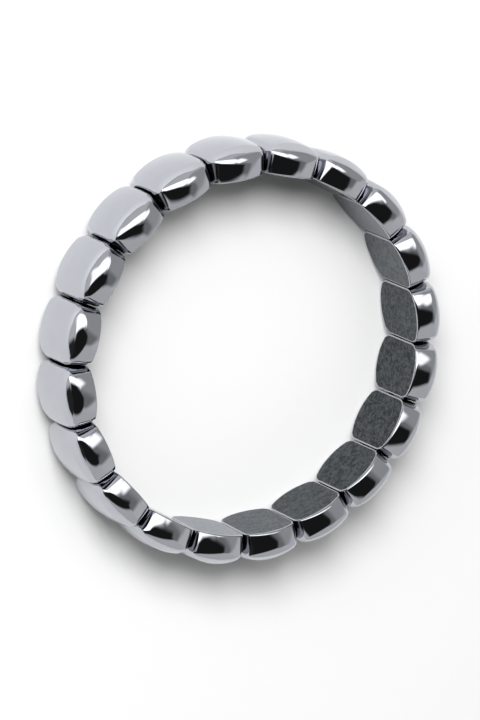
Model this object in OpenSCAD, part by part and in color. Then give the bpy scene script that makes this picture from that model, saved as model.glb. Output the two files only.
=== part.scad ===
// Stretch bracelet of polished stone beads, lying on its side.
// Twenty equal two-hole beads stand edge to edge on two hidden elastic cords.
// Millimetres, +Z up along the bracelet's axis, origin on the surface it rests on, at the loop's centre.

/* [Loop] */
// Number of beads round the loop
bead_count = 20; // [18:1:22]
// Clear diameter of the loop, across the flat inner faces of opposite beads
inner_d = 55.4; // [52:0.2:60]
// Clear gap between the end faces of neighbouring beads
bead_gap = 0.3; // [0.2:0.05:0.4]

/* [Bead] */
// Width of a bead along the bracelet's axis, at its middle
bead_w = 12.4; // [11.6:0.1:13]
// Width of a bead along the bracelet's axis, at its flat ends
end_w = 7.8; // [7:0.1:8.6]
// Thickness of a bead at the crown of its outer face
bead_t = 5.1; // [4.7:0.1:5.5]
// Height of a bead's end faces, measured from its inner face
end_t = 3.4; // [3.1:0.1:3.6]
// Radius of the outer face's dome along the loop
crown_r = 12; // [10:0.5:16]
// Radius of the outer face's dome across the loop
table_r = 26; // [20:1:40]
// Radius of the rounded shoulder between the outer face and each bulged side
shoulder_r = 3; // [2.8:0.1:3.6]
// Bevel along the two end edges of the inner face
inner_bevel = 0.25; // [0.1:0.05:0.4]

/* [Cords] */
// Diameter of each elastic cord
cord_d = 0.7; // [0.5:0.1:0.8]
// Distance between the two cords along the bracelet's axis
cord_spacing = 4.4; // [3.6:0.2:5]
// Height of the cords above the inner faces, at a bead's middle
cord_height = 2; // [1.8:0.1:2.3]
// Diameter of the two holes drilled through each bead
hole_d = 1.4; // [1.3:0.1:1.6]

/* [Hidden] */
$fn = 96;
inner_r = inner_d / 2;
half_step = 180 / bead_count;
side_bulge = (bead_w - end_w) / 2;
mid_half_l = end_x(bead_t / 2);
side_r = (mid_half_l * mid_half_l + side_bulge * side_bulge) / (2 * side_bulge);
table_angle = asin(end_w / 2 / table_r);
shoulder_y = (table_r - shoulder_r) * sin(table_angle);
shoulder_z = crown_r - table_r + (table_r - shoulder_r) * cos(table_angle);
cord_loop_r = inner_r + cord_height;
hole_z = cord_loop_r * (1 + cos(half_step)) / 2 - inner_r;
margin = 1;

function bead_name(k) = str("bead_", k < 10 ? "0" : "", k);

// Half the bead's length at a height above its inner face, up to the wedge-shaped gap plane
function end_x(z) = (inner_r + z) * tan(half_step) - bead_gap / (2 * cos(half_step));

// In a bead's own axes X runs along the loop, Y along the bracelet's axis and Z outwards.

// Everything on this side of one bulged side, whose arc reaches half the bead's width
module inside_one_side() {
    arc_centre = bead_w / 2 - side_r;
    translate([0, arc_centre])
        circle(r = side_r);
    translate([-side_r, arc_centre - bead_w])
        square([2 * side_r, bead_w]);
}

// Outline of the bead seen from outside: two bulged sides
module bulged_sides() {
    intersection() {
        inside_one_side();
        mirror([0, 1])
            inside_one_side();
    }
}

// Outline of the bead seen along the bracelet's axis: a wedge with bevelled ends
module wedge() {
    rise = bead_t + margin;
    polygon([
        [-end_x(0) + inner_bevel, 0],
        [end_x(0) - inner_bevel, 0],
        [end_x(inner_bevel), inner_bevel],
        [end_x(end_t), end_t],
        [end_x(end_t) - (rise - end_t), rise],
        [-end_x(end_t) + (rise - end_t), rise],
        [-end_x(end_t), end_t],
        [-end_x(inner_bevel), inner_bevel]
    ]);
}

// Half section of the domed outer face, X outwards from the dome's own axis, Y across the loop
module dome_section() {
    intersection() {
        translate([crown_r - table_r, 0])
            circle(r = table_r);
        translate([0, -end_w / 2])
            square([crown_r + margin, end_w]);
    }
    for (side = [-1, 1])
        translate([shoulder_z, side * shoulder_y])
            circle(r = shoulder_r);
    translate([0, -shoulder_y - shoulder_r])
        square([shoulder_z, 2 * (shoulder_y + shoulder_r)]);
}

module stone() {
    difference() {
        intersection() {
            linear_extrude(height = bead_t + margin)
                bulged_sides();
            rotate([90, 0, 0])
                linear_extrude(height = bead_w + margin, center = true)
                    wedge();
            translate([0, 0, bead_t - crown_r])
                rotate([90, 0, 0])
                    rotate_extrude()
                        dome_section();
        }
        for (side = [-1, 1])
            translate([0, side * cord_spacing / 2, hole_z])
                rotate([0, 90, 0])
                    cylinder(d = hole_d, h = bead_w, center = true);
    }
}

// One bead at its place round the loop
module bead(k) {
    color("#4a4e56")
        rotate([0, 0, (k - 1) * 2 * half_step])
            translate([inner_r, 0, bead_w / 2])
                rotate([90, 0, 90])
                    stone();
}

// One closed elastic cord through a row of holes
module elastic(side) {
    color("#202226")
        translate([0, 0, bead_w / 2 + side * cord_spacing / 2])
            rotate_extrude()
                translate([cord_loop_r, 0])
                    circle(d = cord_d);
}

for (k = [1 : bead_count])
    bead(k);
elastic(1);  // elastic_upper
elastic(-1);  // elastic_lower
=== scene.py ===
# Stretch bracelet of polished stone beads, lying on its side on a plain white floor.
# Metres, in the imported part's frame: +Z up along the bracelet's axis, origin on the floor at the
# loop's centre.
import math
import random
from collections import namedtuple

import bpy
import numpy as np
from mathutils import Matrix, Vector


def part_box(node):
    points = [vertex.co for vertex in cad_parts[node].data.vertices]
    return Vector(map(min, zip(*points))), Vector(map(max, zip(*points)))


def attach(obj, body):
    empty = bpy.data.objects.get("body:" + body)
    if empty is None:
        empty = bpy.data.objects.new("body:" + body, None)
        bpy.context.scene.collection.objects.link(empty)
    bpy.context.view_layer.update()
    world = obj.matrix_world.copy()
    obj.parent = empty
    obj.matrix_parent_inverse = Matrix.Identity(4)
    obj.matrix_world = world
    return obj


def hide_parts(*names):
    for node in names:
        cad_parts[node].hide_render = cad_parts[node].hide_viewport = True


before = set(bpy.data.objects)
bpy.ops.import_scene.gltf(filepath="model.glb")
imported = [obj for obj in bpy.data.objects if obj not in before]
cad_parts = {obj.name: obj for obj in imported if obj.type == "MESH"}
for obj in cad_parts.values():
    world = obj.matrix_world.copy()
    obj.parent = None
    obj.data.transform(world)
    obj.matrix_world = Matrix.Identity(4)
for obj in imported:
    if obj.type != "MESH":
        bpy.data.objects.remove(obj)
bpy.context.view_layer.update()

# Units
MM = 0.001

# Loop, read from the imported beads
bead_names = sorted(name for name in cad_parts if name.startswith("bead_"))
bead_low, bead_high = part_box(bead_names[0])
half_step = math.pi / len(bead_names)
inner_r = bead_low.x / MM
bead_t = (bead_high.x - bead_low.x) / MM
bead_w = (bead_high.z - bead_low.z) / MM

# Form of a bead, in millimetres. Its domed outer face has a flatter table between two shoulders.
# Its sides bulge along the loop and, like a barrel, between the inner and outer faces.
bead_gap = 0.16
table_w = 7.8
end_w = 8.8
end_drop = 1
crown_rise = 0.2
crown_r = 10.2
table_r = 26
shoulder_r = 9
shoulder_lean = math.radians(25)
barrel_r = 11
barrel_z = 2.8

# Rounding of its edges, in millimetres. The ends' edges are rounder at the outer corners, and those
# of the sides and of the inner face are rounder at the bead's middle.
table_crease = 0.03
side_round = 0.55
least_side_share = 0.25
end_round = 0.9
corner_round = 1.5
corner_reach = 1.2
base_round = 0.13
base_round_mid = 0.33

# Drilled holes, in millimetres. The grid of an end face stops short of a hole by its margin.
hole_d = 1.4
hole_spacing = 4.4
hole_chamfer = 0.12
hole_margin = 0.18
cord_height = 2

# Values that follow from these
mid_half_l = (inner_r + bead_t / 2) * math.tan(half_step) - bead_gap / (2 * math.cos(half_step))
side_bulge = (bead_w - end_w) / 2
side_r = (mid_half_l ** 2 + side_bulge ** 2) / (2 * side_bulge)
side_centre = bead_w / 2 - side_r
dome_z = bead_t + crown_rise - crown_r
table_centre = crown_r - table_r
crease_y = table_w / 2
crease_r = table_centre + math.sqrt(table_r ** 2 - crease_y ** 2)
shoulder_y = crease_y - shoulder_r * math.sin(shoulder_lean)
shoulder_centre = crease_r - shoulder_r * math.cos(shoulder_lean)
end_top = bead_t - end_drop
hole_r = hole_d / 2
hole_z = (inner_r + cord_height) * (1 + math.cos(half_step)) / 2 - inner_r


def end_x(z):
    """Half the bead's length at a height above its inner face."""
    return (inner_r + z) * math.tan(half_step) - bead_gap / (2 * math.cos(half_step))


def side_y(x):
    """Half the bead's width at a distance from its middle along the loop."""
    return side_centre + np.sqrt(np.maximum(side_r ** 2 - x ** 2, 0))


def round_max(a, b, radius):
    """The greater of two signed distances, with the edge between their surfaces rounded."""
    corner = np.hypot(np.maximum(a + radius, 0), np.maximum(b + radius, 0))
    return np.minimum(np.maximum(a, b), -radius) + corner


def smooth_step(low, high, value):
    """0 below one value and 1 above another, with a smooth rise between."""
    t = np.clip((value - low) / (high - low), 0, 1)
    return t ** 2 * (3 - 2 * t)


def bead_distance(p):
    """Signed distance from a bead's surface, negative inside.

    X runs along the loop, Y along the bracelet's axis and Z outwards, in millimetres.
    """
    x, y, z = np.abs(p[:, 0]), np.abs(p[:, 1]), p[:, 2]
    r = np.hypot(x, z - dome_z)
    table = np.hypot(r - table_centre, y) - table_r
    past_shoulder = np.maximum(r - shoulder_centre, 0), np.maximum(y - shoulder_y, 0)
    shoulder = np.hypot(*past_shoulder) - shoulder_r
    side = np.hypot(np.hypot(x, y - side_centre) + barrel_r - side_r, z - barrel_z) - barrel_r
    end = (x - end_x(z)) * math.cos(half_step)
    corner = smooth_step(crease_y - corner_reach, crease_y, y) * smooth_step(0, end_top, z)
    end_edge = end_round + (corner_round - end_round) * corner
    side_edge = side_round * np.maximum((side_y(x) - crease_y) / side_bulge, least_side_share)
    outer = round_max(table, round_max(shoulder, side, side_edge), table_crease)
    outer = round_max(outer, end, end_edge)
    bulge = np.maximum(side_y(x) - end_w / 2, 0) / side_bulge
    return round_max(outer, -z, base_round + (base_round_mid - base_round) * bulge)


def unit(v):
    """Vectors made one long."""
    return v / np.linalg.norm(v, axis=-1, keepdims=True)


def slope(p, reach=1e-4):
    """Gradient of the bead's distance at each point."""
    rises = [bead_distance(p + step) - bead_distance(p - step) for step in np.eye(3) * reach]
    return np.stack(rises, axis=1) / (2 * reach)


def settled(p, rounds=8):
    """Points moved onto the bead's surface."""
    for _ in range(rounds):
        g = slope(p)
        p = p - g * (bead_distance(p) / (g ** 2).sum(axis=1))[:, None]
    return p


def outer_z(x, y):
    """Height of the unrounded outer face."""
    y = np.abs(y)
    table = table_centre + np.sqrt(table_r ** 2 - y ** 2)
    shoulder = shoulder_centre + np.sqrt(np.maximum(shoulder_r ** 2 - (y - shoulder_y) ** 2, 0))
    section = np.where(y < crease_y, table, shoulder)
    return dome_z + np.sqrt(section ** 2 - x ** 2)


# Lines of a bead's grid, closer together where its edges turn. They are shares of the way from its
# middle to an end, from its middle to the table's edge, from there to the side, and from the inner
# face to the outer face.
half_length_lines = np.concatenate([
    np.linspace(0, 0.7, 9),
    [0.76, 0.8, 0.83, 0.855, 0.88, 0.9, 0.92, 0.936, 0.95, 0.963, 0.975, 0.985, 0.993, 1],
])
length_lines = np.append(-half_length_lines[:0:-1], half_length_lines)
table_lines = 1 - np.array([1, 0.8, 0.62, 0.46, 0.33, 0.225, 0.15, 0.1, 0.065, 0.04, 0.022, 0.01, 0])
side_lines = np.concatenate([
    [0.012, 0.03, 0.06, 0.1, 0.16, 0.24],
    np.linspace(0.32, 0.86, 12),
    [0.895, 0.925, 0.95, 0.97, 0.985, 0.994, 1],
])
height_lines = np.concatenate([
    [0, 0.006, 0.013, 0.021, 0.032, 0.048, 0.08, 0.13, 0.2, 0.28, 0.37],
    np.linspace(0.46, 0.9, 12),
    [0.93, 0.96, 0.98, 1],
])

# Most of a bead's half width that the table's lines take up
most_table = 0.9


def bead_grid():
    """A box-like grid of vertex numbers, used on its skin only, and the points of those vertices."""
    middle = len(table_lines) + len(side_lines) - 1
    ids = np.full((len(length_lines), 2 * middle + 1, len(height_lines)), -1)
    i, j, k = np.indices(ids.shape)
    last_i, last_j, last_k = (size - 1 for size in ids.shape)
    skin = (i % last_i == 0) | (j % last_j == 0) | (k % last_k == 0)
    i, j, k = i[skin], j[skin], k[skin]
    ids[skin] = np.arange(skin.sum())
    height = height_lines[k]
    x = length_lines[i] * (end_x(0) + height * (end_x(end_top) - end_x(0)))
    half_width = side_y(x)
    crease = np.minimum(crease_y, most_table * half_width)
    across = np.abs(j - middle)
    on_table = crease * table_lines[np.minimum(across, len(table_lines) - 1)]
    past_table = crease + (half_width - crease) * side_lines[np.maximum(across - len(table_lines), 0)]
    y = np.sign(j - middle) * np.where(across < len(table_lines), on_table, past_table)
    return ids, settled(np.column_stack([x, y, height * outer_z(x, y)]))


def band(outer, inner):
    """Four corners for each step round two closed rows, which hold vertex numbers or directions."""
    return np.stack([outer, np.roll(outer, -1, axis=0), np.roll(inner, -1, axis=0), inner], axis=1)


def hole_block(points, sheet, side):
    """First and last line each way of the part of an end face's grid that a hole takes up."""
    reach = hole_r + hole_margin
    low_line = len(sheet[0]) // 4
    middle_line = len(sheet) // 2
    y = points[sheet[:, low_line], 1]
    z = points[sheet[middle_line], 2]
    j = np.searchsorted(y, side * hole_spacing / 2 + np.array([-reach, reach])) - [1, 0]
    k = np.searchsorted(z, hole_z + np.array([-reach, reach])) - [1, 0]
    return j, k


def bead_mesh():
    """Vertices of one bead about its own axes, its faces, and the normal at each face's corners."""
    ids, points = bead_grid()
    faces, normals = [], []
    vertices = [points]
    smooth = unit(slope(points))

    def add_faces(quads, directions, turned):
        """Adds four-sided faces and their corners' normals, turned over where they face inwards."""
        order = [3, 2, 1, 0] if turned else [0, 1, 2, 3]
        faces.append(quads[:, order])
        normals.append(directions[:, order])

    def add_ring(end, axis_yz, radius, depth, spokes):
        """Adds vertices round a hole's axis, at a depth under the end face, and gives their numbers."""
        yz = axis_yz + radius * spokes[:, 1:]
        vertices.append(np.column_stack([end * (end_x(yz[:, 1]) - depth), yz]))
        return sum(map(len, vertices)) - len(yz) + np.arange(len(yz))

    # The grid's skin is six sheets. Each hole is a square left out of both end sheets, with faces
    # that join it to a chamfered mouth and run through the bead as a bore.
    mouths = {}
    for axis in range(3):
        for end in (-1, 1):
            sheet = np.take(ids, 0 if end < 0 else -1, axis=axis)
            turned = (end < 0) != (axis == 1)
            kept = np.ones((sheet.shape[0] - 1, sheet.shape[1] - 1), bool)
            hole_sides = (-1, 1) if axis == 0 else ()
            for side in hole_sides:
                (j0, j1), (k0, k1) = hole_block(points, sheet, side)
                kept[j0:j1, k0:k1] = False
                rim = np.concatenate(
                    [sheet[j0:j1, k0], sheet[j1, k0:k1], sheet[j1:j0:-1, k1], sheet[j0, k1:k0:-1]]
                )
                axis_yz = np.array([side * hole_spacing / 2, hole_z])
                spokes = unit(np.column_stack([np.zeros(len(rim)), points[rim, 1:] - axis_yz]))
                lip = add_ring(end, axis_yz, hole_r + hole_chamfer, 0, spokes)
                bore = add_ring(end, axis_yz, hole_r, hole_chamfer, spokes)
                slant = unit(np.array([end, 0, 0]) - spokes)
                add_faces(band(rim, lip), band(smooth[rim], smooth[rim]), turned)
                add_faces(band(lip, bore), band(slant, slant), turned)
                mouths[end, side] = bore
                if end > 0:
                    add_faces(band(bore, mouths[-end, side]), band(-spokes, -spokes), turned)
            corners = [sheet[:-1, :-1], sheet[1:, :-1], sheet[1:, 1:], sheet[:-1, 1:]]
            quads = np.stack(corners, axis=-1)[kept]
            add_faces(quads, smooth[quads], turned)
    return np.concatenate(vertices), np.concatenate(faces), np.concatenate(normals)


# How far a bead may lean or twist on its cords, and stand in or out of the loop in millimetres
most_lean = math.radians(0.6)
most_twist = math.radians(0.4)
most_shift = 0.04
seat = random.Random(5)

# Faces that take the dark ground material, painted shade on the inner face and in the gaps at the ends,
# are told by how far a point of the inner face lies from its plane, in millimetres, and by how far an
# end's direction turns from the loop's.
most_height = 0.001
most_turn = 2 * half_step


def place_bead(name, points, faces, normals, materials):
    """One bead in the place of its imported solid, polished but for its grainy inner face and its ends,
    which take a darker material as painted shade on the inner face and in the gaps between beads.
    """
    turn = 2 * half_step * bead_names.index(name)
    c, s = math.cos(turn), math.sin(turn)
    radial, along, up = np.array([c, s, 0]), np.array([-s, c, 0]), np.array([0, 0, 1])
    lean, twist, yaw = (
        Matrix.Rotation(seat.uniform(-most, most), 3, axis)
        for most, axis in ((most_lean, "X"), (most_twist, "Z"), (most_twist, "Y"))
    )
    axes = np.array(lean @ twist @ yaw).T @ np.stack([along, up, radial])
    shift = seat.uniform(-most_shift, most_shift)
    middle = np.array([0, 0, bead_t / 2])
    place = radial * (inner_r + bead_t / 2 + shift) + up * bead_w / 2
    vertices = ((points - middle) @ axes + place) * MM
    mesh = bpy.data.meshes.new("polished_" + name)
    mesh.from_pydata(vertices.tolist(), [], faces.tolist())
    mesh.normals_split_custom_set((normals @ axes).reshape(-1, 3))
    for material in materials:
        mesh.materials.append(material)
    inner = np.all(points[faces][:, :, 2] < most_height, axis=1)
    ends = np.all(np.abs(normals[:, :, 0]) > math.cos(most_turn), axis=1)
    # The inner face and the ends take the dark material: painted shade, in the gaps at the ends and on
    # the inner face.
    mesh.polygons.foreach_set("material_index", (inner | ends).astype(np.int32))
    bead = bpy.data.objects.new("polished_" + name, mesh)
    bpy.context.scene.collection.objects.link(bead)
    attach(bead, "root")
    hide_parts(name)


def shader_node(tree, kind, inputs=(), **settings):
    """A new node with its properties set by name, and its inputs set or linked by name or number."""
    node = tree.nodes.new(kind)
    for name, value in settings.items():
        setattr(node, name, value)
    for name, value in dict(inputs).items():
        if isinstance(value, bpy.types.NodeSocket):
            tree.links.new(value, node.inputs[name])
        else:
            node.inputs[name].default_value = value
    return node


def new_material(name):
    """A material, its node tree, its surface shader and the piece's own coordinates."""
    material = bpy.data.materials.new(name)
    material.use_nodes = True
    tree = material.node_tree
    place = shader_node(tree, "ShaderNodeTexCoord").outputs["Object"]
    return material, tree, tree.nodes["Principled BSDF"], place


def noise(tree, place, size, detail=2, distortion=0):
    """Noise from 0 to 1 whose features are about this many millimetres across."""
    inputs = {"Vector": place, "Scale": 1 / (size * MM), "Detail": detail, "Distortion": distortion}
    return shader_node(tree, "ShaderNodeTexNoise", inputs).outputs["Fac"]


def spread(tree, value, low, high, to_low, to_high):
    """A value mapped from one range to another."""
    inputs = {"Value": value, "From Min": low, "From Max": high, "To Min": to_low, "To Max": to_high}
    return shader_node(tree, "ShaderNodeMapRange", inputs).outputs["Result"]


def blend(tree, factor, first, second):
    """One colour turning into another."""
    node = shader_node(tree, "ShaderNodeMix", {"Factor": factor}, data_type="RGBA")
    first_in, second_in = (socket for socket in node.inputs if socket.type == "RGBA")
    first_in.default_value = (*first, 1)
    second_in.default_value = (*second, 1)
    return next(socket for socket in node.outputs if socket.type == "RGBA")


def bumps(tree, shader, *layers):
    """Height noise on a surface, as pairs of noise and depth in millimetres."""
    normal = None
    for height, depth in layers:
        node = shader_node(tree, "ShaderNodeBump", {"Height": height, "Distance": depth * MM})
        if normal:
            tree.links.new(normal, node.inputs["Normal"])
        normal = node.outputs["Normal"]
    tree.links.new(normal, shader.inputs["Normal"])


# Polished stone, with sizes and depths in millimetres
polished_dark = (0.455, 0.465, 0.5)
polished_light = (0.5, 0.515, 0.555)
polished_roughness = (0.015, 0.045)
cloud_size = 2.5
cloud_detail = 4
smear_size = 1.2
smear_range = (0.35, 0.7)
wave_size = 5
wave_depth = 0.05
ripple_size = 1.3
ripple_depth = 0.004


def polished_stone():
    """Hematite with a mirror polish, faintly wavy from tumbling."""
    material, tree, shader, place = new_material("polished_hematite")
    cloud = noise(tree, place, cloud_size, detail=cloud_detail)
    smear = noise(tree, place, smear_size)
    wave = noise(tree, place, wave_size)
    ripple = noise(tree, place, ripple_size)
    colour = blend(tree, cloud, polished_dark, polished_light)
    roughness = spread(tree, smear, *smear_range, *polished_roughness)
    shader.inputs["Metallic"].default_value = 1
    tree.links.new(colour, shader.inputs["Base Color"])
    tree.links.new(roughness, shader.inputs["Roughness"])
    bumps(tree, shader, (wave, wave_depth), (ripple, ripple_depth))
    return material


# Ground stone, darker than the real stone as painted shade, with the grain's size and depth in
# millimetres
# Painted shade: these dark tones, over the grain's own light and dark, stand in for the shade in the
# gaps at the beads' ends and for the dark surroundings that the inner face reflects.
dark_grain_and_painted_shade = (0.028, 0.032, 0.034)
light_grain_and_painted_shade = (0.088, 0.096, 0.099)
ground_tint = (0.94, 0.96, 1, 1)
ground_roughness = (0.14, 0.06)
grain_size = 0.8
grain_detail = 1.2
grain_distortion = 1.4
grain_depth = 0.004
grain_tone_range = (0.36, 0.64)
grain_gloss_range = (0.3, 0.7)


def grainy_stone_and_painted_shade():
    """Hematite ground flat but hardly polished, with dark and light grains; its darkness is partly the
    inner face's own finish and partly painted shade, on the inner face for the dark surroundings it
    reflects and on the ends for the gaps between beads.
    """
    material, tree, shader, place = new_material("ground_hematite_and_painted_shade")
    grain = noise(tree, place, grain_size, detail=grain_detail, distortion=grain_distortion)
    tone = spread(tree, grain, *grain_tone_range, 0, 1)
    colour = blend(tree, tone, dark_grain_and_painted_shade, light_grain_and_painted_shade)
    roughness = spread(tree, grain, *grain_gloss_range, *ground_roughness)
    shader.inputs["Metallic"].default_value = 1
    shader.inputs["Specular Tint"].default_value = ground_tint
    tree.links.new(colour, shader.inputs["Base Color"])
    tree.links.new(roughness, shader.inputs["Roughness"])
    bumps(tree, shader, (grain, grain_depth))
    return material


# Elastic, with its threads' size and depth in millimetres
elastic_dark = (0.008, 0.008, 0.009)
elastic_light = (0.03, 0.03, 0.033)
elastic_roughness = 0.7
thread_size = 0.12
thread_detail = 3
thread_depth = 0.03


def rubber():
    """Black elastic, covered in fine threads."""
    material, tree, shader, place = new_material("black_elastic")
    thread = noise(tree, place, thread_size, detail=thread_detail)
    colour = blend(tree, thread, elastic_dark, elastic_light)
    tree.links.new(colour, shader.inputs["Base Color"])
    shader.inputs["Roughness"].default_value = elastic_roughness
    bumps(tree, shader, (thread, thread_depth))
    return material


# Camera, at the photograph's angle to the loop. The lens is in millimetres, the distances in metres.
# The loop's middle lies a little right of the frame's middle and above it.
camera_azimuth = math.radians(-87.71)
camera_elevation = math.radians(58.23)
camera_roll = math.radians(114.47)
camera_distance = 758.67 * MM
camera_lens = 250
camera_reach = 10
loop_right = 0.257 * MM
loop_up = 1.638 * MM


def place_camera():
    """The camera, turned about its own view axis by its roll."""
    ce, se = math.cos(camera_elevation), math.sin(camera_elevation)
    ca, sa = math.cos(camera_azimuth), math.sin(camera_azimuth)
    back = Vector((ce * ca, ce * sa, se))
    level = Vector((-sa, ca, 0))
    rise = back.cross(level)
    right = math.cos(camera_roll) * level + math.sin(camera_roll) * rise
    up = back.cross(right)
    middle = Vector((0, 0, bead_w / 2 * MM))
    data = bpy.data.cameras.new("camera")
    data.lens = camera_lens
    data.clip_end = camera_reach
    camera = bpy.data.objects.new("camera", data)
    camera.matrix_world = Matrix((right, up, back)).transposed().to_4x4()
    camera.location = middle + camera_distance * back - loop_right * right - loop_up * up
    bpy.context.scene.collection.objects.link(camera)
    bpy.context.scene.camera = camera


# Floor, in metres
floor_half = 2
floor_colour = (0.68, 0.68, 0.68, 1)
floor_roughness = 0.9


def pale_floor():
    """A plain floor, which the lamp makes white."""
    mesh = bpy.data.meshes.new("floor")
    corners = [(x * floor_half, y * floor_half, 0) for x, y in ((-1, -1), (1, -1), (1, 1), (-1, 1))]
    mesh.from_pydata(corners, [], [(0, 1, 2, 3)])
    material, _, shader, _ = new_material("pale_floor")
    shader.inputs["Base Color"].default_value = floor_colour
    shader.inputs["Roughness"].default_value = floor_roughness
    mesh.materials.append(material)
    floor = bpy.data.objects.new("floor", mesh)
    bpy.context.scene.collection.objects.link(floor)


# Studio round the bracelet, in degrees and brightness. Each panel covers those before it. Its turn
# is about its own centre, and its soft edges lie half inside and half outside its size.
room_light = 0.75
Panel = namedtuple("Panel", "azimuth elevation half_width half_height turn soft brightness")
panels = {
    "grey_wall": Panel(144, 50, 43, 29, -47, 14, 0.25),
    "dark_wall": Panel(344, 58, 48.5, 40, 22, 10, 0.015),
    "grey_card": Panel(152, 36, 38, 26, 20, 13, 0.47),
    "soft_box": Panel(252, 42, 39, 17, -45, 9, 2.6),
    "small_box": Panel(177, 57, 12, 11, 67, 10, 2.2),
    "low_card": Panel(35, 16, 40, 30, 22, 12, 0.68),
    "low_wall": Panel(322, 8, 18, 19, 38, 8, 0.03),
}

# A direction meets a panel's plane only where it goes further than this towards the panel
least_depth = 0.001

# Lamp that lights the floor, in millimetres and watts
key_azimuth = math.radians(245)
key_elevation = math.radians(49)
key_distance = 700
key_size = 320
key_power = 5.8


def panel_mask(tree, direction, panel):
    """1 where a direction meets a rectangular panel, falling to 0 over its soft edge."""
    azimuth = math.radians(panel.azimuth)
    elevation = math.radians(panel.elevation)
    turn = math.radians(panel.turn)
    ce, se = math.cos(elevation), math.sin(elevation)
    ahead = Vector((ce * math.cos(azimuth), ce * math.sin(azimuth), se))
    level = Vector((-math.sin(azimuth), math.cos(azimuth), 0))
    across = math.cos(turn) * level + math.sin(turn) * ahead.cross(level)
    up = ahead.cross(across)

    def along(axis):
        """How far the direction goes along an axis."""
        inputs = {0: direction, 1: axis}
        node = shader_node(tree, "ShaderNodeVectorMath", inputs, operation="DOT_PRODUCT")
        return node.outputs["Value"]

    def worked(operation, *values):
        """The result of one sum."""
        inputs = dict(enumerate(values))
        return shader_node(tree, "ShaderNodeMath", inputs, operation=operation).outputs[0]

    depth = worked("MAXIMUM", along(ahead), least_depth)
    mask = worked("GREATER_THAN", along(ahead), least_depth)
    for axis, half in ((across, panel.half_width), (up, panel.half_height)):
        inputs = {
            "Value": worked("ABSOLUTE", worked("DIVIDE", along(axis), depth)),
            "From Min": math.tan(math.radians(half - panel.soft / 2)),
            "From Max": math.tan(math.radians(half + panel.soft / 2)),
            "To Min": 1,
            "To Max": 0,
        }
        edge = shader_node(tree, "ShaderNodeMapRange", inputs, interpolation_type="SMOOTHSTEP")
        mask = worked("MULTIPLY", mask, edge.outputs["Result"])
    return mask


def key_light():
    """A large soft lamp for the floor's light and shadow, which no reflection shows."""
    ce, se = math.cos(key_elevation), math.sin(key_elevation)
    back = Vector((ce * math.cos(key_azimuth), ce * math.sin(key_azimuth), se))
    data = bpy.data.lights.new("key_light", "AREA")
    data.shape = "DISK"
    data.size = key_size * MM
    data.energy = key_power
    lamp = bpy.data.objects.new("key_light", data)
    lamp.matrix_world = back.to_track_quat("Z", "Y").to_matrix().to_4x4()
    lamp.location = back * key_distance * MM
    lamp.visible_glossy = False
    bpy.context.scene.collection.objects.link(lamp)


def studio_light():
    """The room and its panels, as the world's light."""
    world = bpy.data.worlds.new("studio")
    world.use_nodes = True
    tree = world.node_tree
    direction = shader_node(tree, "ShaderNodeTexCoord").outputs["Generated"]
    light = shader_node(tree, "ShaderNodeValue").outputs[0]
    light.default_value = room_light
    for panel in panels.values():
        inputs = {"Factor": panel_mask(tree, direction, panel), "A": light, "B": panel.brightness}
        light = shader_node(tree, "ShaderNodeMix", inputs, data_type="FLOAT").outputs["Result"]
    background = tree.nodes["Background"]
    background.inputs["Color"].default_value = (1, 1, 1, 1)
    tree.links.new(light, background.inputs["Strength"])
    bpy.context.scene.world = world


place_camera()
shape = bead_mesh()
stones = [polished_stone(), grainy_stone_and_painted_shade()]
for name in bead_names:
    place_bead(name, *shape, stones)
elastic = rubber()
for name in ("elastic_upper", "elastic_lower"):
    materials = bpy.data.objects[name].data.materials
    materials.clear()
    materials.append(elastic)
pale_floor()
studio_light()
key_light()
bpy.context.scene.view_settings.view_transform = "Standard"
